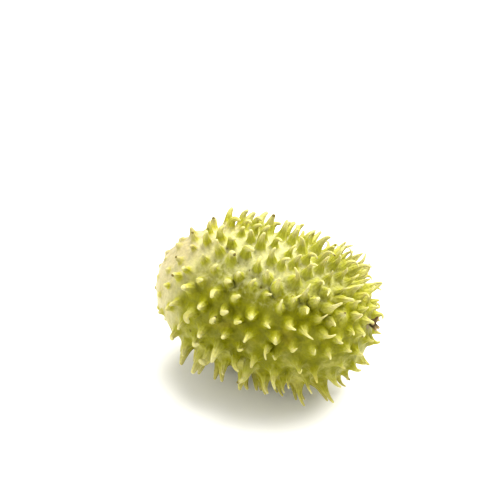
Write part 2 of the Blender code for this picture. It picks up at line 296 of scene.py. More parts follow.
def centre_lines(foot, length, slim, aim, hook, side):
    """Each spine's centre line and its directions at CURVE_STEPS + 1 points. It leaves along its aim
    and hooks to its side near the tip. Where that would take it through the surface below, its
    height flattens out there and the rest of its length slides outwards."""
    step_length = (length / CURVE_STEPS)[:, None]
    outward = away_from_middle(foot)
    point, free_height = foot, foot[:, 2:]
    points, directions = [point], [aim]
    for step in range(1, CURVE_STEPS + 1):
        share = step / CURVE_STEPS
        bend = (hook * smooth((share - HOOK_START) / (1 - HOOK_START)))[:, None]
        way = np.cos(bend) * aim + np.sin(bend) * side
        free_height = free_height + way[:, 2:] * step_length
        sinking = smooth((share - TIP_SINKS) / (1 - TIP_SINKS))
        floor = (TOUCH_SHARE * shaft_radius(share, slim) * (1 - sinking))[:, None]
        height = floor + LANDING * np.logaddexp(0, (free_height - floor) / LANDING)
        pressed = smooth((height - free_height) / LANDING)
        level = unit(way * (1, 1, 0) + pressed * OUTWARD_PULL * outward + (1e-9, 0, 0))
        rise = np.clip(height - point[:, 2:], -step_length, step_length)
        slid = level * np.sqrt(step_length ** 2 - rise ** 2) + rise * (0, 0, 1)
        move = np.where(pressed > LEAST_PRESS, slid, way * step_length)
        point = point + move
        points.append(point)
        directions.append(move / step_length)
    return np.stack(points, 1), np.stack(directions, 1)


def hull_triangles(seats):
    """Corner numbers of the triangles of the seats' hull, all turned outwards."""
    data = bpy.data.meshes.new("seats")
    data.from_pydata(seats.tolist(), [], [])
    mesh = bmesh.new()
    mesh.from_mesh(data)
    bmesh.ops.convex_hull(mesh, input=mesh.verts[:])
    mesh.to_mesh(data)
    mesh.free()
    corners = np.empty(len(data.loops), np.int32)
    data.loops.foreach_get("vertex_index", corners)
    bpy.data.meshes.remove(data)
    triangles = corners.reshape(-1, 3)
    a, b, c = seats[triangles[:, 0]], seats[triangles[:, 1]], seats[triangles[:, 2]]
    inward = (np.cross(b - a, c - a) * (a + b + c)).sum(1) < 0
    triangles[inward] = triangles[inward][:, ::-1]
    return triangles


def hull_edges(triangles, count):
    """Directed edges of the hull, three to a triangle: the seat each starts from and the one it ends
    at, its twin the other way, and the edge that follows it round the seat it starts from."""
    start = triangles.ravel()
    end = np.roll(triangles, -1, axis=1).ravel()
    key = start.astype(np.int64) * count + end
    order = np.argsort(key)
    twin = order[np.searchsorted(key[order], end.astype(np.int64) * count + start)]
    edge = np.arange(len(start))
    before = edge - edge % 3 + (edge + 2) % 3
    return start, end, twin, twin[before]


def row_shares(length):
    """For each ring up a spine: its share of the spine's length (rings by spines), how much of the
    flared foot is left there, and how far the rounded tip has closed. The flare follows
    rise = sin^(2/p), width = cos^(2/p) of an even angle, so both of its ends are smooth."""
    flare_share = np.minimum(FLARE_HEIGHT, FLARE_SHARE * length) / length
    angle = np.linspace(0, np.pi / 2, FLARE_ROWS + 1)[1:]
    lower = np.sin(angle)[:, None] ** (2 / FLARE_POWER) * flare_share
    part = np.linspace(0, 1, SHAFT_ROWS + 1)[1:, None]
    upper = flare_share + (CAP_START - flare_share) * part
    cap = np.array(CAP_SHARES)[:, None] * np.ones_like(length)
    shares = np.concatenate((lower, upper, cap))
    flare = np.concatenate((np.cos(angle) ** (2 / FLARE_POWER), np.zeros(SHAFT_ROWS + len(CAP_SHARES))))
    closing = np.clip((shares[:, 0] - CAP_START) / (1 - CAP_START), 0, 1)
    return shares, flare, np.sqrt(1 - closing ** 2)


def at_share(lines, spine, share):
    """Rows of lines or directions at shares of the spines' lengths, mixed between their points."""
    place = np.clip(share * CURVE_STEPS, 0, CURVE_STEPS - 1e-6)
    below = place.astype(int)
    mix = (place - below)[..., None]
    return lines[spine, below] * (1 - mix) + lines[spine, below + 1] * mix


def seat_frames(normal):
    """Two level directions at each seat, to measure angles round the spine from. Both are square to
    the normal, and the first also to FRAME_AIM, which is the same for all seats."""
    first = unit(np.cross(normal, FRAME_AIM))
    return first, np.cross(normal, first)


def border_points(first_centre, last_centre, share, closeness):
    """Points of the body along a cell's border between two corners, and how far the valley floor is
    raised there: height * sin^2(pi share) * closeness, most between neighbours that stand close."""
    share = share[None, :, None]
    ball = unit(first_centre[:, None] * (1 - share) + last_centre[:, None] * share)
    point, normal = on_body(ball)
    return point, normal * SADDLE_HEIGHT * np.sin(np.pi * share) ** 2 * closeness[:, None, None]


def pole_rings(distance, side, foot, normal, inwards, rim, pit):
    """Rings of a cell without a spine: they close in evenly to its middle. At radius r the height is
    rim * smooth((R - r) / (RIM_FADE R)) - pit * smooth((PIT_SHARE R - r) / (PIT_SHARE R))."""
    radius = distance * (1 - inwards)
    reach, rim_height = rim
    height = (rim_height * smooth((reach - radius) / (RIM_FADE * reach))
              - pit * smooth((PIT_SHARE * reach - radius) / (PIT_SHARE * reach)))
    return foot + side * radius[..., None] + normal * height[..., None], radius


def grow_spines():
    """All the spines, with one row each in every array: seat, foot, rules, centre line, and a phase
    for its creases and a tone for its colour, both drawn evenly."""
    rng = np.random.default_rng(SEED)
    seats = spine_seats(rng)
    foot, normal, length, slim, aim, hook, side, grown = spine_rules(seats, rng)
    lines, directions = centre_lines(foot, length, slim, aim, hook, side)
    phase = rng.uniform(0, 2 * np.pi, len(seats))
    tone = rng.random(len(seats))
    return SimpleNamespace(
        count=len(seats), seats=seats, foot=foot, normal=normal, length=length, slim=slim, hook=hook,
        grown=grown, lines=lines, directions=directions, phase=phase, tone=tone)


def lay_cells(spines):
    """The cells that the skin is divided into, one round each seat. Every edge of the seats' hull
    carries a sector of the cell that it starts from: SIDE_COLUMNS border points between the middles
    of two hull triangles, each with its direction and distance from the seat, its sag below the
    seat's level, and its saddle. Closeness of two seats = 2 - spacing / usual spacing."""
    triangles = hull_triangles(spines.seats)
    start, end, twin, following = hull_edges(triangles, spines.count)
    centres = unit(spines.seats[triangles].mean(1))
    spacing = np.linalg.norm(spines.foot[start] - spines.foot[end], axis=1)
    closeness = np.clip(CLOSENESS_LIMIT - spacing / np.median(spacing), 0, CLOSENESS_LIMIT)
    closeness = closeness * np.minimum(spines.grown[start], spines.grown[end])
    own_triangle = np.arange(len(start)) // 3
    share = np.arange(SIDE_COLUMNS) / SIDE_COLUMNS
    border, saddle = border_points(centres[twin // 3], centres[own_triangle], share, closeness)
    offset = border - spines.foot[start][:, None]
    flat = tangent(offset, spines.normal[start][:, None])
    distance = np.linalg.norm(flat, axis=-1)
    around = flat / distance[..., None]
    axis_a, axis_b = seat_frames(spines.normal)
    along_a = (around * axis_a[start][:, None]).sum(-1)
    along_b = (around * axis_b[start][:, None]).sum(-1)
    return SimpleNamespace(
        edges=len(start), start=start, twin=twin, following=following, centres=centres, border=border,
        saddle=saddle, sag=offset - flat, distance=distance, around=around,
        angle=np.arctan2(along_b, along_a))


def tip_slimming(spines):
    """The share of its radius that each spine loses at its tip: SLIM_TIP + SLIM_HOOK * smooth(hook /
    largest hook) towards the blossom end, and -PLUMP_TIP towards the stalk end."""
    towards_blossom = smooth((spines.foot[:, 0] - SLIM_FADE[0]) / (SLIM_FADE[1] - SLIM_FADE[0]))
    slimmer = SLIM_TIP + SLIM_HOOK * smooth(spines.hook / HOOK_ANGLES[1])
    return slimmer * towards_blossom - PLUMP_TIP * (1 - towards_blossom)


def spine_rings(spines, cells, shares, flare, closing):
    """Points of all rings round all spines, as edges by columns by rings, and their shares of the
    spines' lengths. A point stands at centre line + turned side * radius + n^2 * sag +
    smooth(n) * saddle, where radius = shaft + (cell radius - shaft) * flare and n = radius / cell
    radius."""
    spine = np.repeat(cells.start[:, None], SIDE_COLUMNS, axis=1)
    distance, around, upright = cells.distance, cells.around, spines.normal[spine]
    phase = spines.phase[spine]
    crease = 1 - CREASE_DEPTH * spines.grown[spine] * np.cos(CREASES * cells.angle + phase) ** 2
    waist = WAIST_DEPTH * np.sin(WAISTS * cells.angle + phase)
    slimmer = tip_slimming(spines)[spine]
    rings = []
    for ring_shares, ring_flare, ring_closing in zip(shares, flare, closing):
        up = ring_shares[spine]
        core = shaft_radius(up, spines.slim[spine]) * (crease - waist)
        core = core * ring_closing * (1 - slimmer * smooth(up / SLIM_SHARE))
        radius = core + np.maximum(distance - core, 0) * ring_flare
        way = unit(at_share(spines.directions, spine, up))
        way = unit(way + (upright - way) * smooth(ring_flare))
        dip = (around * way).sum(-1, keepdims=True)
        turned = around - dip / (1 + (upright * way).sum(-1, keepdims=True)) * (upright + way)
        nearness = (radius / distance)[..., None]
        settle = nearness ** 2 * cells.sag + smooth(nearness) * cells.saddle
        rings.append(at_share(spines.lines, spine, up) + turned * radius[..., None] + settle)
    return np.stack(rings, axis=2), np.moveaxis(shares[:, spine], 0, 2)


def fill_pole_cells(spines, cells, points, reached, tips):
    """Puts the stalk scar and the blossom dimple in the first and the last cell, in place of a spine.
    Gives back how much each point belongs to either, which tints it there."""
    scar = np.zeros(reached.shape)
    rings = reached.shape[2]
    inwards = (np.arange(1, rings + 1) / (rings + 1))[None, None]
    outwards = 1 - inwards[..., None]
    for cell, rim, pit in ((0, (SCAR_RADIUS, SCAR_HEIGHT), SCAR_PIT),
                           (spines.count - 1, (DIMPLE_RADIUS, 0.0), DIMPLE_DEPTH)):
        here = cells.start == cell
        foot, normal = spines.foot[cell], spines.normal[cell]
        level, radius = pole_rings(cells.distance[here][..., None], cells.around[here][:, :, None],
                                   foot, normal, inwards, rim, pit)
        points[here] = (level + cells.sag[here][:, :, None] * outwards ** 2
                        + cells.saddle[here][:, :, None] * smooth(outwards))
        reached[here] = 0
        scar[here] = smooth((rim[0] * TINT_REACH - radius) / (TINT_FADE * rim[0]))
        tips[cell] = foot + normal * (rim[1] - pit)
    return scar


def skin_faces(cells, rings):
    """The edges whose border points are kept, one of each pair of twins, and the corner numbers of
    the skin's faces. The vertices come in this order: the middles of the hull triangles, the kept
    border points, the rings of every column, and the tips. A column leads from its border point up
    its rings to its tip, and its faces join it to the next column round the cell."""
    edge, column = np.arange(cells.edges), np.arange(SIDE_COLUMNS)[None, :]
    kept = np.flatnonzero(edge < cells.twin)
    rank = np.zeros(cells.edges, int)
    rank[kept] = np.arange(len(kept))
    rank[cells.twin[kept]] = np.arange(len(kept))
    inner = np.where((edge < cells.twin)[:, None], column - 1, SIDE_COLUMNS - 1 - column)
    border_index = np.where(column == 0, (cells.twin // 3)[:, None],
                            len(cells.centres) + rank[:, None] * (SIDE_COLUMNS - 1) + inner)
    ring_start = len(cells.centres) + len(kept) * (SIDE_COLUMNS - 1)
    ring_points = cells.edges * SIDE_COLUMNS * rings
    ring_index = ring_start + np.arange(ring_points).reshape(cells.edges, SIDE_COLUMNS, rings)
    grid = np.concatenate((border_index[..., None], ring_index), axis=2)
    right = np.concatenate((grid[:, 1:], grid[cells.following][:, :1]), axis=1)
    quads = np.stack((grid[..., :-1], right[..., :-1], right[..., 1:], grid[..., 1:]), -1)
    tip_index = np.broadcast_to((ring_start + ring_points + cells.start)[:, None], grid.shape[:2])
    caps = np.stack((grid[..., -1], right[..., -1], tip_index), -1)
    return kept, quads.reshape(-1, 4), caps.reshape(-1, 3)


def point_values(spines, cells, reached, scar, low_points):
    """What the skin's material reads at each point: its share up the spine, the spine's tone and
    growth, how far it belongs to a scar, and the cosine and sine of its angle round the spine."""
    def all_points(low, rings, tips):
        ring_values = np.broadcast_to(rings, reached.shape).ravel()
        return np.concatenate((np.full(low_points, low), ring_values, tips))

    own = cells.start[:, None, None]
    angle = cells.angle[:, :, None]
    at_pole = np.isin(np.arange(spines.count), (0, spines.count - 1))
    nothing = np.zeros(spines.count)
    return {
        "up_spine": all_points(0.0, reached, np.where(at_pole, 0.0, 1.0)),
        "tone": all_points(0.5, spines.tone[own], spines.tone),
        "grown": all_points(1.0, spines.grown[own], spines.grown),
        "scar": all_points(0.0, scar, at_pole),
        "side_a": all_points(0.0, np.cos(angle), nothing),
        "side_b": all_points(0.0, np.sin(angle), nothing),
    }


def fruit_arrays():
    """Vertices, faces and point values of the whole skin. Nothing reaches below height 0."""
    spines = grow_spines()
    cells = lay_cells(spines)
    shares, flare, closing = row_shares(spines.length)
    points, reached = spine_rings(spines, cells, shares, flare, closing)
    tips = spines.lines[:, -1].copy()
    scar = fill_pole_cells(spines, cells, points, reached, tips)
    kept, quads, caps = skin_faces(cells, len(shares))
    corners, _ = on_body(cells.centres)
    borders = (cells.border + cells.saddle)[kept][:, 1:].reshape(-1, 3)
    vertices = np.concatenate((corners, borders, points.reshape(-1, 3), tips))
    vertices[:, 2] = np.maximum(vertices[:, 2], 0.0)
    values = point_values(spines, cells, reached, scar, len(corners) + len(borders))
    return vertices, quads, caps, values


def mesh_object(name, vertices, quads, triangles, attributes):
    """Puts whole arrays of vertices, four-sided and three-sided faces and point values in a mesh."""
    data = bpy.data.meshes.new(name)
    corners = np.concatenate((quads.ravel(), triangles.ravel())).astype(np.int32)
    sizes = np.concatenate((np.full(len(quads), 4), np.full(len(triangles), 3))).astype(np.int32)
    data.vertices.add(len(vertices))
    data.vertices.foreach_set("co", vertices.astype(np.float32).ravel())
    data.loops.add(len(corners))
    data.loops.foreach_set("vertex_index", corners)
    data.polygons.add(len(sizes))
    data.polygons.foreach_set("loop_start", (np.cumsum(sizes) - sizes).astype(np.int32))
    data.update(calc_edges=True)
    for label, values in attributes.items():
        layer = data.attributes.new(label, "FLOAT", "POINT")
        layer.data.foreach_set("value", values.astype(np.float32))
    data.validate()
    data.shade_smooth()
    item = bpy.data.objects.new(name, data)
    bpy.context.scene.collection.objects.link(item)
    return item


def wave(way, counts):
    """sin(a x + b y + c z + d) in each direction, for counts (a, b, c, d)."""
    a, b, c, d = counts
    return np.sin(a * way[:, 0] + b * way[:, 1] + c * way[:, 2] + d)


def remnant_arrays():
    """The withered flower as a grid of polar angle by turn round its axis. Its distance from the
    middle is core * wrinkles + lobe humps exp(-(angle / width)^2) * weaker wrinkles + the style's
    hump, where wrinkles are 1 + depth * (product of two coarse waves + share * of two fine ones)."""
    rows, columns = REMNANT_GRID
    foot, normal = on_body(unit(np.array((1.0, *BLOSSOM_SHIFT))))
    level = unit(np.cross((0, 0, 1), normal))
    axes = np.stack((normal, level, np.cross(normal, level)))
    middle = foot + normal * (REMNANT_GAP + REMNANT_CORE * REMNANT_FLAT)
    turns = np.arange(LOBE_COUNT) * 2 * np.pi / LOBE_COUNT
    tilts = LOBE_TILT + LOBE_WANDER * np.sin(LOBE_WANDER_WAVES * turns + LOBE_WANDER_START)
    lobes = np.stack((np.cos(tilts), np.sin(tilts) * np.cos(turns), np.sin(tilts) * np.sin(turns)), 1)
    style = unit(np.array(STYLE_AIM))
    polar = np.linspace(0, np.pi, rows + 1)[1:-1, None]
    turn = np.linspace(0, 2 * np.pi, columns, endpoint=False)[None]
    way = np.stack(np.broadcast_arrays(np.cos(polar), np.sin(polar) * np.cos(turn),
                                       np.sin(polar) * np.sin(turn)), -1).reshape(-1, 3)
    way = np.concatenate((way, [(1.0, 0, 0), (-1.0, 0, 0)]))
    lobe = np.exp(-(np.arccos(np.clip(way @ lobes.T, -1, 1)) / LOBE_WIDTH) ** 2).sum(1)
    stump = np.exp(-(np.arccos(np.clip(way @ style, -1, 1)) / STYLE_WIDTH) ** 2)
    coarse = wave(way, COARSE_WAVES[0]) * wave(way, COARSE_WAVES[1])
    wrinkle = coarse + FINE_SHARE * wave(way, FINE_WAVES[0]) * wave(way, FINE_WAVES[1])
    reach = (REMNANT_CORE * (1 + WRINKLE_DEPTH * wrinkle)
             + LOBE_REACH * lobe * (1 + LOBE_WRINKLING * WRINKLE_DEPTH * wrinkle)
             + STYLE_REACH * stump)
    flattening = np.where(way[:, :1] < 0, REMNANT_FLAT, 1.0)
    local = way * reach[:, None] * np.concatenate((flattening, np.ones((len(way), 2))), axis=1)
    vertices = middle + local @ axes
    index = np.arange((rows - 1) * columns).reshape(rows - 1, columns)
    beside = np.roll(index, -1, axis=1)
    quads = np.stack((index[:-1], index[1:], beside[1:], beside[:-1]), -1).reshape(-1, 4)
    front, rear = len(vertices) - 2, len(vertices) - 1
    caps = np.concatenate((np.stack((np.full(columns, front), index[0], beside[0]), -1),
                           np.stack((np.full(columns, rear), beside[-1], index[-1]), -1)))
    return vertices, quads, caps, {"lobe": np.clip(lobe, 0, 1), "style": stump}


# Skin colours, as linear values
# The two darkest greens are the skin's own deep green, made darker still by painted shade in the
# valleys between the spines.
VALLEY_GREEN_AND_SHADE = (0.140, 0.140, 0.000)
DEEP_GREEN_AND_SHADE = (0.200, 0.200, 0.000)
# Painted shade: a saturated green on the middles of the spines on the upper side, standing for their
# flanks in shade with light coming through them.
PAINTED_FLANK_SHADE = (0.315, 0.322, 0.025)
SPINE_GREEN = (0.335, 0.330, 0.040)
SPINE_PALE = (0.425, 0.405, 0.108)
TIP_PALE = (0.475, 0.450, 0.190)
PATCH_PALE = (0.350, 0.336, 0.080)
# Painted light: the pale ground between the spines on the upper side, where the light from above falls.
UPPER_PAINTED_LIGHT = (0.490, 0.475, 0.225)
STEM_CREAM = (0.412, 0.377, 0.180)
STEM_BLUSH = (0.455, 0.382, 0.212)
# Painted shade: darkens the cream on top of the stalk end, where the light from above is strongest.
STEM_TOP_PAINTED_SHADE = (0.80, 0.80, 0.76)
STEM_SPINE = (0.330, 0.320, 0.015)
# Ochre stains the skin in spots; close to the ground the same ochre is painted shade on the underside.
OCHRE_STAIN_AND_SHADE = (0.290, 0.245, 0.015)
DRY_BROWN = (0.085, 0.058, 0.008)
SCAR_BROWN = (0.200, 0.130, 0.060)
GREEN_STOPS = ((0.0, VALLEY_GREEN_AND_SHADE), (0.20, DEEP_GREEN_AND_SHADE), (0.42, SPINE_GREEN), (0.66, SPINE_PALE),
               (1.0, TIP_PALE))
STEM_STOPS = ((0.0, STEM_CREAM), (0.16, STEM_CREAM), (0.45, STEM_SPINE), (0.85, SPINE_PALE),
              (1.0, TIP_PALE))

# Flower colours, from its core to the ends of its lobes
CORE_BROWN = (0.060, 0.036, 0.009)
LOBE_BROWN = (0.13, 0.082, 0.022)
LOBE_TAN = (0.28, 0.200, 0.070)
LOBE_BEIGE = (0.48, 0.380, 0.180)
STYLE_BROWN = (0.10, 0.055, 0.02)
FLOWER_STOPS = ((0.0, CORE_BROWN), (0.35, LOBE_BROWN), (0.7, LOBE_TAN), (1.0, LOBE_BEIGE))

# Noise patterns: scale in cells per metre, octaves and roughness. Specks have a scale only.
BROAD = (130, 2, 0.5)
OCHRE_SPOTS = (170, 3, 0.6)
BLOTCHES = (230, 3, 0.55)
FINE = (700, 4, 0.6)
GRAIN = (1300, 4, 0.65)
FIBRES = (1800, 5, 0.65)
PORES = (2600, 3, 0.5)
SPECK_SCALE = 260

# Where each effect starts and where it is full. Heights and places along X are in metres. The rest
# are shares: of a spine's length, of the climb up it, of a noise's range or of a cell's width.
SHOULDER_PLACE = (0.000, 0.014)
SHOULDER_HEIGHT = (0.018, 0.030)
STALK_HALF = (0.002, -0.012)
BLOTCH_EDGE = (0.46, 0.62)
BLOTCH_ROOM = (0.62, 0.20)
BLOTCH_HEIGHT = (0.022, 0.014)
# Painted light and painted shade on the upper side start at these heights.
PAINTED_LIGHT_HEIGHT = (0.0300, 0.0362)
PAINTED_LIGHT_ROOM = (0.34, 0.08)
FLANK_BOTTOM = (0.12, 0.26)
FLANK_TOP = (0.74, 0.46)
GREEN_PLACE = (-0.021, -0.011)
BLUSH_PLACE = (-0.019, -0.027)
# Painted shade on top of the stalk end starts at this height.
PAINTED_TOP_SHADE_HEIGHT = (0.024, 0.034)
OCHRE_EDGE = (0.56, 0.72)
# Painted shade of ochre on the underside, below this height.
UNDERSIDE_SHADE_HEIGHT = (0.016, 0.004)
DRY_TONE = (0.965, 0.975)
DRY_ROOM = (0.88, 0.96)
SPECK_EDGE = (0.13, 0.07)
SPECK_CHOICE = (0.90, 0.92)
WORN_EDGE = (0.20, 0.62)
RIB_BOTTOM = (0.02, 0.16)
RIB_TOP = (0.95, 0.60)

# How strong each effect is
FINE_ON_CLIMB = 0.22
TONE_ON_CLIMB = 0.16
SHOULDER_ON_CLIMB = 0.16
STALK_ON_CLIMB = 0.10
FINE_ON_HEIGHT = 0.014
BROAD_ON_PLACE = 0.016
HEIGHT_ON_PLACE = -0.42
PLACE_SHIFT = 0.0102
LOW_BLOTCHES = 0.66
LEAST_BLOTCHES = 0.12
PAINTED_LIGHT_STRENGTH = 0.76
PAINTED_FLANK_STRENGTH = 0.85
BLUSH_STRENGTH = 0.6
OCHRE_SPOT_STRENGTH = 0.40
UNDERSIDE_SHADE_STRENGTH = 0.42
GRAIN_STRENGTH = 0.95
GRAIN_BASE = 0.54
DRY_STRENGTH = 0.85
SCAR_STRENGTH = 0.9
SKIN_ROUGHNESS = 0.42
FINE_ON_ROUGHNESS = 0.22
DRY_ON_ROUGHNESS = 0.30
RIBS = 7.0
BROAD_ON_RIBS = 9.0
TONE_ON_RIBS = 20.0
PORES_ON_RELIEF = 0.35
RIBS_ON_RELIEF = 0.26
FIBRES_ON_LOBE = 0.9
WITHERED_ROUGHNESS = 0.9
BUMP_STRENGTH = 0.6
SKIN_BUMP_DEPTH = 0.0004
FLOWER_BUMP_DEPTH = 0.0002

# How the skin lets light in and throws it back
SUBSURFACE_WEIGHT = 0.35
SUBSURFACE_RADIUS = (1.0, 0.85, 0.25)
SUBSURFACE_SCALE = 0.0010
SPECULAR_LEVEL = 0.24
SPECULAR_TINT = (1.0, 0.96, 0.35, 1)

# Floor and light: places and sizes in metres, power in watts
FLOOR_HALF = 1.5
FLOOR_DROP = 5e-5
FLOOR_WHITE = (0.88, 0.88, 0.87, 1)
FLOOR_ROUGHNESS = 0.9
SURROUND_WHITE = (1.0, 0.99, 0.97, 1)
SURROUND_STRENGTH = 0.74
KEY_PLACE = (0.06, 0.18, 0.42)
KEY_SIZE = 0.55
KEY_POWER = 7.1
KEY_WHITE = (1.0, 0.98, 0.94)
FILL_PLACE = (-0.30, -0.36, 0.12)
FILL_SIZE = 0.40
FILL_POWER = 1.4
FILL_WHITE = (1.0, 1.0, 1.0)

# Layout of the node editor, in its own units
NODES_IN_COLUMN = 7
COLUMN_WIDTH = 220
ROW_HEIGHT = 260


class Nodes:
    """A new material's node tree. Each method adds a node and gives back its output. Where a method
    takes a value, it may be another node's output or a plain number or colour. New nodes fill one
    column of the node editor after another."""

    def __init__(self, name):
        self.material = bpy.data.materials.new(name)
        self.material.use_nodes = True
        self.tree = self.material.node_tree
        self.shader = self.tree.nodes["Principled BSDF"]
        self.added = 0

    def add(self, kind, **properties):
        """Adds a node of a kind, sets its properties and keeps the shader to the right of it."""
        item = self.tree.nodes.new(kind)
        column, row = divmod(self.added, NODES_IN_COLUMN)
        item.location = (column * COLUMN_WIDTH, -row * ROW_HEIGHT)
        self.shader.location = ((column + 1) * COLUMN_WIDTH, 0)
        self.added += 1
        for label, value in properties.items():
            setattr(item, label, value)
        return item

    def put(self, socket, value):
        """Links an output to a socket, or sets the socket to a number or an RGB colour."""
        if isinstance(value, bpy.types.NodeSocket):
            self.tree.links.new(value, socket)
        elif isinstance(value, tuple):
            socket.default_value = (*value, 1)
        else:
            socket.default_value = value

    def coordinates(self):
        """The point's place in metres. Every object stands unturned at the origin."""
        return self.add("ShaderNodeTexCoord").outputs["Object"]

    def attribute(self, label):
        """A value that the mesh holds at each point."""
        return self.add("ShaderNodeAttribute", attribute_name=label).outputs["Fac"]

    def noise(self, vector, pattern):
        """A noise from 0 to 1 with a pattern's scale, octaves and roughness."""
        item = self.add("ShaderNodeTexNoise")
        self.put(item.inputs["Vector"], vector)
        for label, value in zip(("Scale", "Detail", "Roughness"), pattern):
            self.put(item.inputs[label], value)
        return item.outputs["Fac"]

    def math(self, operation, *values, clamp=False):
        """The result of a Math node's operation on the values."""
        item = self.add("ShaderNodeMath", operation=operation, use_clamp=clamp)
        for socket, value in zip(item.inputs, values):
            self.put(socket, value)
        return item.outputs[0]

    def times(self, first, second):
        """first * second"""
        return self.math("MULTIPLY", first, second)

    def plus(self, value, factor, base):
        """base + value * factor"""
        return self.math("MULTIPLY_ADD", value, factor, base)

    def sway(self, value, factor, base):
        """base + (value - 0.5) * factor, for a value that lies round 0.5"""
        return self.plus(self.math("SUBTRACT", value, 0.5), factor, base)

    def fade(self, value, ends):
        """A smooth step from 0 at the first end to 1 at the second, whichever is larger."""
        item = self.add("ShaderNodeMapRange", interpolation_type="SMOOTHSTEP")
        self.put(item.inputs["Value"], value)
        self.put(item.inputs["From Min"], ends[0])
        self.put(item.inputs["From Max"], ends[1])
        return item.outputs["Result"]

    def mix(self, factor, first, second, blend="MIX"):
        """first * (1 - factor) + second * factor, or with MULTIPLY first * second as the second"""
        item = self.add("ShaderNodeMix", data_type="RGBA", blend_type=blend)
        self.put(item.inputs[0], factor)
        self.put(item.inputs[6], first)
        self.put(item.inputs[7], second)
        return item.outputs[2]

    def grey(self, value):
        """The colour (value, value, value)."""
        item = self.add("ShaderNodeCombineColor")
        for socket in item.inputs[:3]:
            self.put(socket, value)
        return item.outputs[0]

    def ramp(self, value, stops):
        """A colour ramp through (position, colour) stops, with soft changes between them."""
        item = self.add("ShaderNodeValToRGB")
        item.color_ramp.interpolation = "EASE"
        elements = item.color_ramp.elements
        while len(elements) < len(stops):
            elements.new(0.5)
        for element, (position, colour) in zip(elements, stops):
            element.position = position
            element.color = (*colour, 1)
        self.put(item.inputs[0], value)
        return item.outputs[0]

    def bump(self, relief, depth):
        """Turns the shader's normals by a relief that is depth metres deep."""
        item = self.add("ShaderNodeBump")
        self.put(item.inputs["Strength"], BUMP_STRENGTH)
        self.put(item.inputs["Distance"], depth)
        self.put(item.inputs["Height"], relief)
        self.put(self.shader.inputs["Normal"], item.outputs[0])


def skin_inputs(nodes):
    """What the skin's colours go by. Climb is the share up the spine, a little more on the shoulder
    and in the stalk half, height is z, and place is x + HEIGHT_ON_PLACE * z + PLACE_SHIFT. Each
    sways with a noise."""
    point = nodes.coordinates()
    split = nodes.add("ShaderNodeSeparateXYZ")
    nodes.put(split.inputs[0], point)
    along, _, above = split.outputs
    up_spine, tone = nodes.attribute("up_spine"), nodes.attribute("tone")
    broad, fine = nodes.noise(point, BROAD), nodes.noise(point, FINE)
    height = nodes.sway(fine, FINE_ON_HEIGHT, above)
    climb = nodes.sway(fine, FINE_ON_CLIMB, up_spine)
    climb = nodes.sway(tone, TONE_ON_CLIMB, climb)
    shoulder = nodes.times(nodes.fade(along, SHOULDER_PLACE), nodes.fade(height, SHOULDER_HEIGHT))
    climb = nodes.plus(shoulder, SHOULDER_ON_CLIMB, climb)
    climb = nodes.plus(nodes.fade(along, STALK_HALF), STALK_ON_CLIMB, climb)
    swayed = nodes.math("ADD", nodes.sway(broad, BROAD_ON_PLACE, along), PLACE_SHIFT)
    return SimpleNamespace(
        point=point, up_spine=up_spine, tone=tone, broad=broad, fine=fine, height=height, climb=climb,
        place=nodes.plus(above, HEIGHT_ON_PLACE, swayed), grain=nodes.noise(point, GRAIN))


def green_colour(nodes, skin):
    """Deep green in the valleys, the skin's own green darkened there by painted shade, and pale at the
    tips. Pale blotches lie low down between the spines. On the upper side the ground between them is
    made pale by painted light, and the spines' middles there are painted a saturated green as painted
    shade on their flanks."""
    # Painted shade: the lowest stops of this ramp darken the valleys between the spines.
    colour = nodes.ramp(skin.climb, GREEN_STOPS)
    low_down = nodes.plus(nodes.fade(skin.height, BLOTCH_HEIGHT), LOW_BLOTCHES, LEAST_BLOTCHES)
    blotches = nodes.times(nodes.fade(nodes.noise(skin.point, BLOTCHES), BLOTCH_EDGE), low_down)
    blotches = nodes.times(blotches, nodes.fade(skin.up_spine, BLOTCH_ROOM))
    colour = nodes.mix(blotches, colour, PATCH_PALE)
    # Painted light: the ground between the spines on the upper side is made pale.
    painted_upper_side = nodes.fade(skin.height, PAINTED_LIGHT_HEIGHT)
    ground = nodes.times(painted_upper_side, nodes.fade(skin.up_spine, PAINTED_LIGHT_ROOM))
    colour = nodes.mix(nodes.times(ground, PAINTED_LIGHT_STRENGTH), colour, UPPER_PAINTED_LIGHT)
    # Painted shade: on the upper side the spines' middles turn a saturated green.
    painted_flank = nodes.times(nodes.fade(skin.climb, FLANK_BOTTOM), nodes.fade(skin.climb, FLANK_TOP))
    painted_flank = nodes.times(painted_flank, painted_upper_side)
    return nodes.mix(nodes.times(painted_flank, PAINTED_FLANK_STRENGTH), colour, PAINTED_FLANK_SHADE)


def with_stalk_end(nodes, skin, green):
    """The green colour, and cream with green spines round the stalk end, blushed at its very end and
    darkened a little on top there by painted shade."""
    cream = nodes.ramp(skin.climb, STEM_STOPS)
    colour = nodes.mix(nodes.fade(skin.place, GREEN_PLACE), cream, green)
    blush = nodes.fade(skin.place, BLUSH_PLACE)
    colour = nodes.mix(nodes.times(blush, BLUSH_STRENGTH), colour, STEM_BLUSH)
    # Painted shade on top of the stalk end.
    painted_top_shade = nodes.times(nodes.fade(skin.height, PAINTED_TOP_SHADE_HEIGHT), blush)
    return nodes.mix(painted_top_shade, colour, STEM_TOP_PAINTED_SHADE, "MULTIPLY")


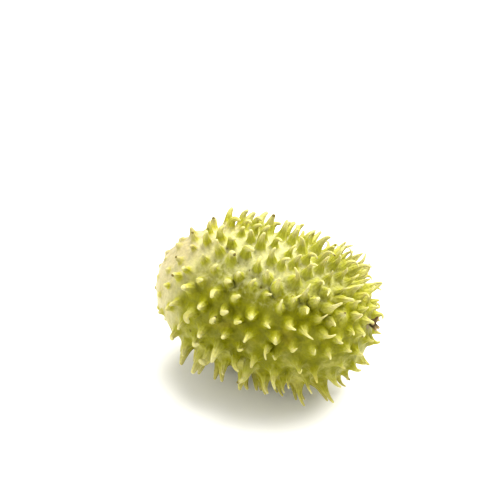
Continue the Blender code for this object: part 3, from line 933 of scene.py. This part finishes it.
def with_ochre_and_grain(nodes, skin, colour):
    """Ochre in spots, and close to the ground as painted shade on the underside, and over all a fine
    light and dark grain.
    """
    spots = nodes.fade(nodes.noise(skin.point, OCHRE_SPOTS), OCHRE_EDGE)
    spots = nodes.times(spots, OCHRE_SPOT_STRENGTH)
    # Painted shade: ochre on the underside close to the ground.
    low_down = nodes.times(nodes.fade(skin.height, UNDERSIDE_SHADE_HEIGHT), UNDERSIDE_SHADE_STRENGTH)
    colour = nodes.mix(nodes.math("MAXIMUM", spots, low_down), colour, OCHRE_STAIN_AND_SHADE)
    shade = nodes.grey(nodes.plus(skin.grain, GRAIN_STRENGTH, GRAIN_BASE))
    return nodes.mix(1.0, colour, shade, "MULTIPLY")


def dry_places(nodes, skin):
    """How dry the skin is: the tips of a few spines, and small round specks in one cell out of ten."""
    tips = nodes.times(nodes.fade(skin.tone, DRY_TONE), nodes.fade(skin.up_spine, DRY_ROOM))
    cells = nodes.add("ShaderNodeTexVoronoi")
    nodes.put(cells.inputs["Scale"], SPECK_SCALE)
    nodes.put(cells.inputs["Vector"], skin.point)
    chosen = nodes.add("ShaderNodeSeparateColor")
    nodes.put(chosen.inputs[0], cells.outputs["Color"])
    specks = nodes.times(nodes.fade(cells.outputs["Distance"], SPECK_EDGE),
                         nodes.fade(chosen.outputs[0], SPECK_CHOICE))
    return nodes.math("MAXIMUM", tips, specks)


def skin_relief(nodes, skin):
    """Fine + pores + ribs. The ribs run up the grown spines, sin(RIBS * angle + sway), and die out at
    the spine's foot and tip."""
    turn = nodes.math("ARCTAN2", nodes.attribute("side_b"), nodes.attribute("side_a"))
    sway = nodes.plus(skin.broad, BROAD_ON_RIBS, nodes.times(skin.tone, TONE_ON_RIBS))
    ribs = nodes.math("SINE", nodes.plus(turn, RIBS, sway))
    room = nodes.times(nodes.fade(skin.up_spine, RIB_BOTTOM), nodes.fade(skin.up_spine, RIB_TOP))
    ribs = nodes.times(ribs, nodes.times(room, nodes.attribute("grown")))
    relief = nodes.plus(nodes.noise(skin.point, PORES), PORES_ON_RELIEF, skin.fine)
    return nodes.plus(ribs, RIBS_ON_RELIEF, relief)


def skin_material():
    """Waxy fruit skin that lets some light in: green, pale and cream, with ochre, grain, dry specks and
    tips, a brown stalk scar and fine relief. Painted light makes its upper side pale, and painted shade
    lies in its valleys, on the spines' middles on its upper side, on top of the stalk end and on the
    underside close to the ground."""
    nodes = Nodes("gherkin_skin")
    skin = skin_inputs(nodes)
    colour = with_stalk_end(nodes, skin, green_colour(nodes, skin))
    colour = with_ochre_and_grain(nodes, skin, colour)
    dry = dry_places(nodes, skin)
    colour = nodes.mix(nodes.times(dry, DRY_STRENGTH), colour, DRY_BROWN)
    worn = nodes.times(nodes.attribute("scar"), nodes.fade(skin.grain, WORN_EDGE))
    colour = nodes.mix(nodes.times(worn, SCAR_STRENGTH), colour, SCAR_BROWN)
    roughness = nodes.plus(skin.fine, FINE_ON_ROUGHNESS, SKIN_ROUGHNESS)
    roughness = nodes.math("MULTIPLY_ADD", dry, DRY_ON_ROUGHNESS, roughness, clamp=True)
    nodes.bump(skin_relief(nodes, skin), SKIN_BUMP_DEPTH)
    inputs = nodes.shader.inputs
    nodes.put(inputs["Base Color"], colour)
    nodes.put(inputs["Roughness"], roughness)
    inputs["Subsurface Weight"].default_value = SUBSURFACE_WEIGHT
    inputs["Subsurface Radius"].default_value = SUBSURFACE_RADIUS
    inputs["Subsurface Scale"].default_value = SUBSURFACE_SCALE
    inputs["Specular IOR Level"].default_value = SPECULAR_LEVEL
    inputs["Specular Tint"].default_value = SPECULAR_TINT
    return nodes.material


def withered_material():
    """Dry flower tissue: dark brown core, beige lobe ends, brown style, fibrous relief, no gloss."""
    nodes = Nodes("withered_flower")
    fibres = nodes.noise(nodes.coordinates(), FIBRES)
    outwards = nodes.sway(fibres, FIBRES_ON_LOBE, nodes.attribute("lobe"))
    colour = nodes.mix(nodes.attribute("style"), nodes.ramp(outwards, FLOWER_STOPS), STYLE_BROWN)
    nodes.put(nodes.shader.inputs["Base Color"], colour)
    nodes.shader.inputs["Roughness"].default_value = WITHERED_ROUGHNESS
    nodes.bump(fibres, FLOWER_BUMP_DEPTH)
    return nodes.material


def floor_material():
    """Plain near-white studio paper."""
    nodes = Nodes("pale_paper")
    nodes.shader.inputs["Base Color"].default_value = FLOOR_WHITE
    nodes.shader.inputs["Roughness"].default_value = FLOOR_ROUGHNESS
    return nodes.material


def make_floor():
    """A wide level sheet just under the spines."""
    half = FLOOR_HALF
    corners = [(-half, -half, -FLOOR_DROP), (half, -half, -FLOOR_DROP),
               (half, half, -FLOOR_DROP), (-half, half, -FLOOR_DROP)]
    data = bpy.data.meshes.new("floor")
    data.from_pydata(corners, [], [(0, 1, 2, 3)])
    item = bpy.data.objects.new("floor", data)
    item.data.materials.append(floor_material())
    bpy.context.scene.collection.objects.link(item)


def make_camera():
    """Looks at the fruit from the photo's side. The body's middle falls on BODY_PIXEL: the camera
    aims beside it by (pixel - middle pixel) / PIXELS_PER_METRE, and stands back by
    frame width * lens / sensor width."""
    turn, rise = math.radians(CAMERA_TURN), math.radians(CAMERA_RISE)
    back = Vector((math.sin(turn) * math.cos(rise), -math.cos(turn) * math.cos(rise), math.sin(rise)))
    right = Vector((math.cos(turn), math.sin(turn), 0))
    up = back.cross(right)
    half = FRAME_PIXELS / 2
    middle = Vector((BODY_X, BODY_Y, HALF_WIDTH + BODY_CLEARANCE))
    aim = (middle - right * ((BODY_PIXEL[0] - half) / PIXELS_PER_METRE)
           + up * ((BODY_PIXEL[1] - half) / PIXELS_PER_METRE))
    data = bpy.data.cameras.new("camera")
    data.lens, data.sensor_width, data.clip_start = CAMERA_LENS, SENSOR_WIDTH, CAMERA_CLIP
    item = bpy.data.objects.new("camera", data)
    item.location = aim + back * (FRAME_PIXELS / PIXELS_PER_METRE * CAMERA_LENS / SENSOR_WIDTH)
    item.rotation_euler = back.to_track_quat("Z", "Y").to_euler()
    bpy.context.scene.collection.objects.link(item)
    bpy.context.scene.camera = item


def soft_box(name, place, size, power, colour):
    """A square area light that looks at the fruit's middle."""
    data = bpy.data.lights.new(name, "AREA")
    data.shape, data.size, data.energy, data.color = "SQUARE", size, power, colour
    item = bpy.data.objects.new(name, data)
    item.location = place
    away = Vector(place) - Vector((0, 0, HALF_WIDTH))
    item.rotation_euler = away.to_track_quat("Z", "Y").to_euler()
    bpy.context.scene.collection.objects.link(item)


def make_light():
    """High-key studio light: a bright surround, a large soft box high up behind the fruit, and a
    weak one low in front of its stalk end."""
    world = bpy.data.worlds.new("studio")
    world.use_nodes = True
    background = world.node_tree.nodes["Background"]
    background.inputs["Color"].default_value = SURROUND_WHITE
    background.inputs["Strength"].default_value = SURROUND_STRENGTH
    bpy.context.scene.world = world
    bpy.context.scene.view_settings.view_transform = "Standard"
    soft_box("key", KEY_PLACE, KEY_SIZE, KEY_POWER, KEY_WHITE)
    soft_box("fill", FILL_PLACE, FILL_SIZE, FILL_POWER, FILL_WHITE)


def main():
    """Makes the stage and the two pieces, and says what each rides on, replaces and is made of."""
    make_camera()
    make_light()
    make_floor()
    fruit = mesh_object("spiny_fruit", *fruit_arrays())
    fruit.data.materials.append(skin_material())
    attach(fruit, "root")
    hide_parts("fruit")
    flower = mesh_object("withered_flower", *remnant_arrays())
    flower.data.materials.append(withered_material())
    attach(flower, "root")
    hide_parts("flower_remnant")


main()
bpy.context.view_layer.update()
